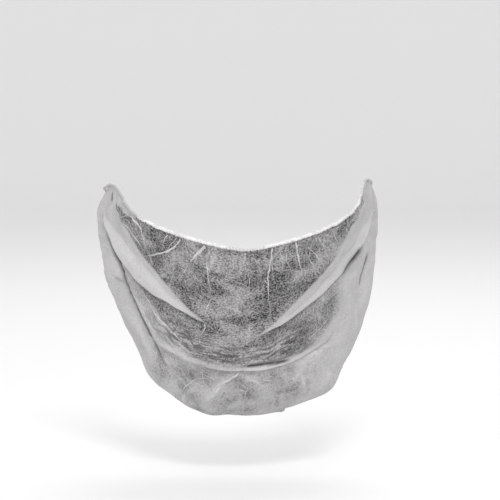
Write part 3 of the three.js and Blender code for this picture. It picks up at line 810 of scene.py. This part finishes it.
def cloth_finder(points, masks):
    """A function that gives places on the cloth, and their outward directions, from angles and shares."""
    grid = points[1:-1]
    normal = grid_normals(grid)
    angle = masks["angle"][1]
    rows, columns = grid.shape[:2]
    climb = np.maximum.accumulate(masks["at"][1:-1], axis=0) + 1e-9 * np.arange(rows)[:, None]

    def find(way):
        places = []
        for one_angle, one_at in way:
            column = np.interp(one_angle, angle, np.arange(columns))
            first = min(int(column), columns - 2)
            place = np.zeros(6)
            for side, share in ((first, 1 - column + first), (first + 1, column - first)):
                row = np.interp(one_at, climb[:, side], np.arange(rows))
                top = min(int(row), rows - 2)
                below = row - top
                both = np.concatenate([grid[top : top + 2, side], normal[top : top + 2, side]], axis=1)
                place += share * ((1 - below) * both[0] + below * both[1])
            places.append(place)
        places = np.array(places)
        return places[:, :3], unit(places[:, 3:])

    return find


def small_ridges(rng):
    """Faint creases: some run down from the hem, some cross the lower pouch and some the face."""
    rows = []

    def crease(angle, at, step, middle, thickness):
        first, last = (angle - step[0], at - step[1]), (angle + step[0], at + step[1])
        rows.append((rng.uniform(*thickness), (first, middle, last)))

    for start in np.arange(-60, 80, HEM_RIDGE_PITCH):
        angle = start + rng.uniform(-1.4, 1.4)
        lean, reach, bend, begin = draw(rng, (-5, 5), (0.03, 0.13), (-1.5, 1.5), (0, 0.02))
        middle = (angle + lean * 0.5 + bend, begin + reach * 0.5)
        rows.append((rng.uniform(0.12, 0.22), ((angle, begin), middle, (angle + lean, begin + reach))))
    for _ in range(LOW_RIDGES):
        angle, at, turn, reach = draw(rng, (-44, 42), (0.53, 0.7), (0, 2 * math.pi), (2, 6))
        step = (reach * math.cos(turn), reach * 0.009 * math.sin(turn))
        aside, on = draw(rng, (-0.8, 0.8), (-0.006, 0.006))
        crease(angle, at, step, (angle + aside, at + on), (0.14, 0.3))
    for _ in range(FACE_RIDGES):
        angle, at, run, rise, on = draw(rng, (-40, 44), (0.06, 0.42), (2, 6), (-0.02, 0.02), (-0.006, 0.006))
        crease(angle, at, (run, rise), (angle, at + on), (0.08, 0.15))
    return rows


def ridge_paths(find):
    """One object that holds every ridge's path as loose edges, with its thickness at each point."""
    rng = np.random.default_rng(RIDGE_SEED)
    vertices = []
    edges = []
    thickness = []
    for radius, corners in (*RIDGES, *small_ridges(rng)):
        way = smooth_line(corners, 9)
        way[:, 1] = np.clip(way[:, 1], 0, 1)
        place, out = find(way)
        share = np.linspace(0, 1, len(way))
        taper = np.minimum(1, (1 - share) * 1.7 + 0.12)
        if corners[0][1] > HEM_SHARE:
            taper = np.minimum(taper, share * 2.6 + 0.15)
        phase = rng.uniform(0, 2 * math.pi, 2)
        wavy = 1 + 0.22 * np.sin(19 * share + phase[0]) + 0.16 * np.sin(43 * share + phase[1])
        size = RIDGE_WIDENING * radius * taper * wavy
        start = len(vertices)
        sideways = np.cross(out, unit(np.gradient(place, axis=0)))
        wander = 0.3 * np.sin(31 * share + phase[0]) * np.sin(13 * share + phase[1])
        place = place + sideways * wander[:, None]
        vertices += list(place + out * (CLOTH_WALL / 2 - RIDGE_SINK * size)[:, None])
        edges += [(start + n, start + n + 1) for n in range(len(way) - 1)]
        thickness += list(size * MM)
    piece = new_object("crease_ridges", np.array(vertices) * MM, edges)
    set_attribute(piece, "thickness", thickness)
    return piece


def stitch_places(line, whole):
    """One object that holds a point for each stitch, with the hem's direction and which way is outward."""
    count = round(whole / STITCH_PITCH)
    at = np.round(np.arange(count) * len(line) / count).astype(int) % len(line)
    at = at[hem_veil_and_shade(line[at]) < STITCH_VEIL_AND_SHADE_LIMIT]
    along = unit(np.roll(line, -2, 0) - np.roll(line, 2, 0))[at]
    out = line[at] - np.array([0.0, 45.0, -25.0])
    out[:, 1] = np.minimum(out[:, 1], 0) - 25
    out = unit(out - along * np.sum(out * along, -1, keepdims=True))
    piece = new_object("hem_stitches", line[at] * MM)
    set_attribute(piece, "along", along)
    set_attribute(piece, "out", out)
    return piece


# Nodes


def socket(tree, way, name, kind, value=None):
    made = tree.interface.new_socket(name=name, in_out=way, socket_type=kind)
    if value is not None:
        made.default_value = value


def add(tree, kind, inputs=None, **values):
    """A node with its properties, and with each input set to a number or linked to another node's output."""
    node = tree.nodes.new(kind)
    for key, value in values.items():
        setattr(node, key, value)
    for key, value in (inputs or {}).items():
        if isinstance(value, bpy.types.NodeSocket):
            tree.links.new(value, node.inputs[key])
        else:
            node.inputs[key].default_value = value
    return node


def math_node(tree, operation, a, b=None, clamp=False):
    inputs = {0: a} if b is None else {0: a, 1: b}
    return add(tree, "ShaderNodeMath", inputs, operation=operation, use_clamp=clamp).outputs[0]


def times(tree, a, b):
    return math_node(tree, "MULTIPLY", a, b)


# Geometry Nodes


def node_tree(name, **sizes):
    """A tree that takes a geometry, the named sizes and a material, and the sockets that give them."""
    tree = bpy.data.node_groups.new(name, "GeometryNodeTree")
    socket(tree, "INPUT", "Geometry", "NodeSocketGeometry")
    for key, value in sizes.items():
        kind = "NodeSocketInt" if isinstance(value, int) else "NodeSocketFloat"
        socket(tree, "INPUT", key.replace("_", " ").title(), kind, value)
    socket(tree, "INPUT", "Material", "NodeSocketMaterial")
    socket(tree, "OUTPUT", "Geometry", "NodeSocketGeometry")
    return tree, add(tree, "NodeGroupInput").outputs


def finish_tree(tree, given, geometry):
    real = add(tree, "GeometryNodeRealizeInstances", {"Geometry": geometry})
    inputs = {"Geometry": real.outputs[0], "Material": given["Material"]}
    dress = add(tree, "GeometryNodeSetMaterial", inputs)
    add(tree, "NodeGroupOutput", {"Geometry": dress.outputs[0]})
    return tree


def read_attribute(tree, name, kind):
    node = add(tree, "GeometryNodeInputNamedAttribute", {"Name": name}, data_type=kind)
    return node.outputs["Attribute"]


def tube(tree, curve, radius, sides, scale=1.0):
    """A closed tube along a curve."""
    ring = add(tree, "GeometryNodeCurvePrimitiveCircle", {"Radius": radius, "Resolution": sides})
    inputs = {"Curve": curve, "Profile Curve": ring.outputs[0], "Scale": scale, "Fill Caps": True}
    return add(tree, "GeometryNodeCurveToMesh", inputs).outputs[0]


def ridge_tree():
    """A thin closed ridge along each path, as thick as its points say."""
    tree, given = node_tree("ridges_on_paths", sides=RIDGE_SIDES, thickness_scale=1.0)
    path = add(tree, "GeometryNodeMeshToCurve", {"Mesh": given["Geometry"]})
    size = times(tree, read_attribute(tree, "thickness", "FLOAT"), given["Thickness Scale"])
    ridge = tube(tree, path.outputs[0], 1.0, given["Sides"], size)
    smooth = add(tree, "GeometryNodeSetShadeSmooth", {"Geometry": ridge})
    return finish_tree(tree, given, smooth.outputs[0])


def stitch_tree():
    """A slanting loop of thread over the hem at each point."""
    sizes = {"thread_radius": STITCH_THREAD * MM, "loop_radius": (HEM_RADIUS + STITCH_CLEAR) * MM}
    tree, given = node_tree("stitches_on_hem", **sizes, sides=4, seed=3)
    arc = {
        "Resolution": 7,
        "Radius": given["Loop Radius"],
        "Start Angle": math.radians(-STITCH_SWEEP / 2),
        "Sweep Angle": math.radians(STITCH_SWEEP),
    }
    loop = add(tree, "GeometryNodeCurveArc", arc, mode="RADIUS")
    thread = tube(tree, loop.outputs["Curve"], given["Thread Radius"], given["Sides"])
    # the loop lies in its own XY plane; lean it so that the thread slants along the hem
    slant = (math.atan2(STITCH_SLANT, 2 * HEM_RADIUS), 0, 0)
    lean = add(tree, "GeometryNodeTransform", {"Geometry": thread, "Rotation": slant})
    spots = add(tree, "GeometryNodeMeshToPoints", {"Mesh": given["Geometry"]})
    turn = {"Vector": read_attribute(tree, "along", "FLOAT_VECTOR")}
    first = add(tree, "FunctionNodeAlignRotationToVector", turn, axis="Z")
    turn = {"Rotation": first.outputs[0], "Vector": read_attribute(tree, "out", "FLOAT_VECTOR")}
    second = add(tree, "FunctionNodeAlignRotationToVector", turn, axis="X", pivot_axis="Z")
    # inputs 2 and 3 are the least and the greatest number
    uneven = {2: 0.93, 3: 1.04, "Seed": given["Seed"]}
    size = add(tree, "FunctionNodeRandomValue", uneven, data_type="FLOAT")
    inputs = {
        "Points": spots.outputs[0],
        "Instance": lean.outputs[0],
        "Rotation": second.outputs[0],
        "Scale": size.outputs[1],
    }
    return finish_tree(tree, given, add(tree, "GeometryNodeInstanceOnPoints", inputs).outputs[0])


def grow(piece, tree, **values):
    """Runs the tree on the piece and leaves the result as its plain mesh."""
    modifier = piece.modifiers.new("grow", "NODES")
    modifier.node_group = tree
    for item in tree.interface.items_tree:
        key = item.name.replace(" ", "_").lower()
        if item.item_type == "SOCKET" and item.in_out == "INPUT" and key in values:
            modifier[item.identifier] = values[key]
    shown = piece.evaluated_get(bpy.context.evaluated_depsgraph_get())
    mesh = bpy.data.meshes.new_from_object(shown)
    piece.modifiers.clear()
    start = piece.data
    piece.data = mesh
    bpy.data.meshes.remove(start)
    mesh.name = piece.name


# Finishes


def ramp(tree, value, low, high, out_low=0.0, out_high=1.0, smooth=True):
    kind = "SMOOTHSTEP" if smooth else "LINEAR"
    inputs = {"Value": value, "From Min": low, "From Max": high, "To Min": out_low, "To Max": out_high}
    return add(tree, "ShaderNodeMapRange", inputs, interpolation_type=kind, clamp=True).outputs["Result"]


def grey_mix(tree, low, high, share):
    """Between two greys, by a share that changes over the surface."""
    return ramp(tree, share, 0.0, 1.0, low, high, smooth=False)


def tinted(tree, value, tint):
    """A grey made a colour with a faint tint."""
    channels = {name: times(tree, value, amount) for name, amount in zip(("Red", "Green", "Blue"), tint)}
    return add(tree, "ShaderNodeCombineColor", channels).outputs[0]


def mask(tree, name):
    """A number that the mesh holds at its points."""
    return add(tree, "ShaderNodeAttribute", attribute_name=name).outputs["Fac"]


def drawn_out(tree, vector, x, y):
    """The vector with its first two axes scaled, which draws a pattern out along one of them."""
    inputs = {"Vector": vector, "Scale": (x, y, 1)}
    return add(tree, "ShaderNodeMapping", inputs, vector_type="POINT").outputs[0]


def noise(tree, vector, scale, detail, roughness=0.5, distortion=0.0):
    inputs = {"Vector": vector, "Scale": scale, "Detail": detail, "Roughness": roughness}
    inputs["Distortion"] = distortion
    return add(tree, "ShaderNodeTexNoise", inputs, noise_dimensions="2D").outputs["Fac"]


def fibre_group():
    """Spunbond: long fine filaments laid at random and bonded, in a web with dense and thin clouds."""
    tree = bpy.data.node_groups.new("spunbond_fibres", "ShaderNodeTree")
    socket(tree, "INPUT", "Vector", "NodeSocketVector")
    for name, value in (("Web Scale", 260.0), ("Thread Width", 0.05), ("Cloud Scale", 110.0)):
        socket(tree, "INPUT", name, "NodeSocketFloat", value)
    for name in ("Web", "Cloud", "Grain"):
        socket(tree, "OUTPUT", name, "NodeSocketFloat")
    given = add(tree, "NodeGroupInput").outputs
    vector = given["Vector"]
    scale = given["Web Scale"]

    def filaments(degrees, stretch, shift, share):
        """Thin lines where a drawn-out noise passes its middle value: filaments that wander one way."""
        inputs = {
            "Vector": vector,
            "Rotation": (0, 0, math.radians(degrees)),
            "Scale": (stretch, 1, 1),
            "Location": (shift, -shift, 0),
        }
        turned = add(tree, "ShaderNodeMapping", inputs, vector_type="TEXTURE").outputs[0]
        value = noise(tree, turned, times(tree, scale, share), 2.0, 0.55)
        off = math_node(tree, "ABSOLUTE", math_node(tree, "SUBTRACT", value, 0.5))
        return ramp(tree, off, 0.0, given["Thread Width"], 1.0, 0.0)

    lines = [filaments(*row) for row in FILAMENTS]
    web = lines[0]
    for line in lines[1:]:
        web = math_node(tree, "MAXIMUM", web, line)
    cloud = noise(tree, drawn_out(tree, vector, 0.42, 1), given["Cloud Scale"], 2.5, 0.5, 0.4)
    grain = noise(tree, drawn_out(tree, vector, 0.6, 1), times(tree, scale, 3.3), 1.5, 0.75)
    outputs = {"Web": web, "Cloud": ramp(tree, cloud, 0.3, 0.7), "Grain": ramp(tree, grain, 0.33, 0.67)}
    add(tree, "NodeGroupOutput", outputs)
    return tree


def fibre_web(tree, fibres, vector, web_scale, thread_width, cloud_scale):
    inputs = {"Vector": vector, "Web Scale": web_scale, "Thread Width": thread_width}
    inputs["Cloud Scale"] = cloud_scale
    return add(tree, "ShaderNodeGroup", inputs, node_tree=fibres).outputs


def summed(tree, outputs, **shares):
    """The fibre web's outputs, each times its share, added up to 1 at most."""
    parts = [times(tree, outputs[name.title()], share) for name, share in shares.items()]
    total = parts[0]
    for part in parts[1:]:
        total = math_node(tree, "ADD", total, part, clamp=True)
    return total


def new_material(name, specular, sheen):
    """A matt material with a little sheen, and its tree and shader."""
    material = bpy.data.materials.new(name)
    material.use_nodes = True
    tree = material.node_tree
    tree.nodes.clear()
    inputs = {"Metallic": 0.0, "Specular IOR Level": specular, "Sheen Weight": sheen, "Sheen Roughness": 0.5}
    shader = add(tree, "ShaderNodeBsdfPrincipled", inputs)
    add(tree, "ShaderNodeOutputMaterial", {"Surface": shader.outputs[0]})
    return material, tree, shader


def dress_shader(tree, shader, colour, roughness, height, strength):
    tree.links.new(colour, shader.inputs["Base Color"])
    tree.links.new(roughness, shader.inputs["Roughness"])
    inputs = {"Strength": strength, "Distance": FIBRE_HEIGHT, "Height": height}
    bump = add(tree, "ShaderNodeBump", inputs)
    tree.links.new(bump.outputs["Normal"], shader.inputs["Normal"])


def cloth_material(fibres):
    material, tree, shader = new_material("spunbond_cloth", specular=0.3, sheen=0.12)
    place = add(tree, "ShaderNodeUVMap", uv_map="cloth").outputs["UV"]
    web = fibre_web(tree, fibres, place, web_scale=300.0, thread_width=0.05, cloud_scale=80.0)
    stretched, band, density_and_painted_shade, chin, low = (
        mask(tree, name) for name in ("stretched", "band", "density_and_painted_shade", "chin", "low")
    )
    # stretched cloth is thin and open, so its web shows; loose cloth and folded bands close it
    thick = summed(tree, web, web=0.3, cloud=0.4, grain=0.42)
    patches = ramp(tree, noise(tree, place, 75.0, 2.0), 0.33, 0.67, -0.25, 0.2)
    thin = math_node(tree, "ADD", stretched, times(tree, patches, low), clamp=True)
    dark = grey_mix(tree, 0.39, 0.015, thin)
    light = grey_mix(tree, 0.5, 0.37, thin)
    tone = ramp(tree, thick, 0.16, 0.98, dark, light, smooth=False)
    # under the chin the cloth is drawn out sideways, so that its fibres lie in streaks
    streaks = noise(tree, drawn_out(tree, place, 0.16, 1), 560.0, 2.0)
    shaded = times(tree, tone, ramp(tree, streaks, 0.36, 0.64, 0.25, 1.2))
    tone = grey_mix(tree, tone, shaded, times(tree, chin, 0.8))
    folded = ramp(tree, thick, 0.1, 0.95, 0.48, 0.58, smooth=False)
    tone = grey_mix(tree, tone, folded, times(tree, band, 0.9))
    # the mask lightens crumples and light ridges; below nothing it is painted shade that darkens valleys and
    # slits almost to black
    ridge = math_node(tree, "MAXIMUM", density_and_painted_shade, 0.0)
    tone = grey_mix(tree, tone, 0.66, math_node(tree, "MULTIPLY", ridge, 0.7, clamp=True))
    painted_valley_shade = times(tree, math_node(tree, "MINIMUM", density_and_painted_shade, 0.0), 0.93)
    tone = times(tree, tone, math_node(tree, "ADD", painted_valley_shade, 1.0))
    colour = tinted(tree, tone, (1.0, 0.985, 0.985))
    roughness = ramp(tree, web["Web"], 0.0, 1.0, 0.92, 0.7)
    height = math_node(tree, "ADD", web["Web"], times(tree, web["Grain"], 0.6))
    dress_shader(tree, shader, colour, roughness, height, strength=0.35)
    return material


def white_material(name, fibres, low, high, roughness, veiled_and_shaded=False, by_thickness=False):
    """Cloth that is doubled or gathered, or thread: white, with a fine fibre grain."""
    material, tree, shader = new_material(name, specular=0.35, sheen=0.15)
    place = add(tree, "ShaderNodeTexCoord").outputs["Object"]
    inputs = {"Vector": place, "Rotation": (math.pi / 2, 0, 0)}
    upright = add(tree, "ShaderNodeMapping", inputs, vector_type="POINT").outputs[0]
    web = fibre_web(tree, fibres, upright, web_scale=420.0, thread_width=0.06, cloud_scale=260.0)
    tone = grey_mix(tree, low, high, summed(tree, web, web=0.4, cloud=0.6))
    # the hem's white greys to the cloth's tone: painted shade towards the ears, and the veil of thin cloth
    # at the lip
    if veiled_and_shaded:
        tone = grey_mix(tree, tone, 0.36, mask(tree, "veil_and_shade"))
    if by_thickness:
        shade = ramp(tree, mask(tree, "thickness"), 0.0001, 0.0006, 0.7, 1.0, smooth=False)
        tone = times(tree, tone, shade)
    colour = tinted(tree, tone, (1.0, 0.99, 0.985))
    rough = ramp(tree, web["Web"], 0.0, 1.0, roughness, roughness * 0.75)
    dress_shader(tree, shader, colour, rough, web["Web"], strength=0.3)
    return material


# The set: floor, light and camera


def floor_material():
    material = bpy.data.materials.new("pale_floor")
    material.use_nodes = True
    shader = material.node_tree.nodes["Principled BSDF"]
    shader.inputs["Base Color"].default_value = (FLOOR_TONE, FLOOR_TONE, FLOOR_TONE, 1)
    shader.inputs["Roughness"].default_value = 0.7
    return material


def make_floor():
    """A wide round floor that curves up all round, so that every side has the same pale ground."""
    profile = [(FLOOR_MIDDLE, FLOOR_Z), (FLOOR_FLAT, FLOOR_Z)]
    for n in range(1, FLOOR_BEND_STEPS + 1):
        turn = n / FLOOR_BEND_STEPS * math.pi / 2
        rise = FLOOR_BEND * (1 - math.cos(turn))
        profile.append((FLOOR_FLAT + FLOOR_BEND * math.sin(turn), FLOOR_Z + rise))
    profile.append((FLOOR_FLAT + FLOOR_BEND, FLOOR_WALL))
    sides = FLOOR_SIDES
    vertices = [(0, 0, FLOOR_Z)]
    for radius, height in profile:
        for n in range(sides):
            turn = 2 * math.pi * n / sides
            vertices.append((radius * math.cos(turn), radius * math.sin(turn), height))
    faces = [(0, 1 + n, 1 + (n + 1) % sides) for n in range(sides)]
    for row in range(len(profile) - 1):
        low = 1 + row * sides
        for n in range(sides):
            beside = (n + 1) % sides
            faces.append((low + n, low + sides + n, low + sides + beside, low + beside))
    floor = new_object("studio_floor", vertices, faces=faces)
    floor.data.materials.append(floor_material())


def face_along(thing, way):
    thing.rotation_mode = "QUATERNION"
    thing.rotation_quaternion = way.to_track_quat("-Z", "Y")


def soft_light(name, place, size, power):
    data = bpy.data.lights.new(name, "AREA")
    data.shape = "DISK"
    data.size = size
    data.energy = power
    light = placed(name, data)
    light.location = place
    face_along(light, Vector(LIGHT_TARGET) - light.location)


def make_lights():
    world = bpy.data.worlds.new("studio")
    world.use_nodes = True
    background = world.node_tree.nodes["Background"]
    background.inputs["Color"].default_value = (1, 1, 1, 1)
    background.inputs["Strength"].default_value = WORLD_STRENGTH
    bpy.context.scene.world = world
    bpy.context.scene.view_settings.view_transform = "Standard"
    for row in LIGHTS:
        soft_light(*row)


def make_camera():
    """Level with the mouth and a little above it, as the photograph was taken."""
    data = bpy.data.cameras.new("camera")
    data.sensor_width = 36
    data.lens = CAMERA_LENS
    data.clip_start = 0.05
    data.clip_end = 20
    camera = placed("camera", data)
    lift = math.radians(CAMERA_LIFT)
    forward = Vector((0, math.cos(lift), -math.sin(lift)))
    camera.location = Vector(CAMERA_TARGET) - forward * CAMERA_AWAY
    face_along(camera, forward)
    bpy.context.scene.camera = camera


make_camera()
make_lights()
make_floor()

fibres = fibre_group()
cloth, cloth_points, cloth_masks = make_cloth()
cloth.data.materials.append(cloth_material(fibres))
hem, hem_line, hem_length = make_hem(cloth_points)
hem_cloth = white_material("gathered_hem_cloth", fibres, low=0.56, high=0.84, roughness=0.85, veiled_and_shaded=True)
hem.data.materials.append(hem_cloth)
ridges = ridge_paths(cloth_finder(cloth_points, cloth_masks))
creased = white_material("creased_cloth", fibres, low=0.38, high=0.62, roughness=0.85, by_thickness=True)
grow(ridges, ridge_tree(), sides=RIDGE_SIDES, material=creased)
stitches = stitch_places(hem_line, hem_length)
thread = white_material("stitch_thread", fibres, low=0.8, high=0.95, roughness=0.7)
grow(stitches, stitch_tree(), material=thread)

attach(cloth, "root")
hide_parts("pouch")
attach(ridges, "root")
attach(hem, "root")
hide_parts("elastic_hem")
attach(stitches, "root")
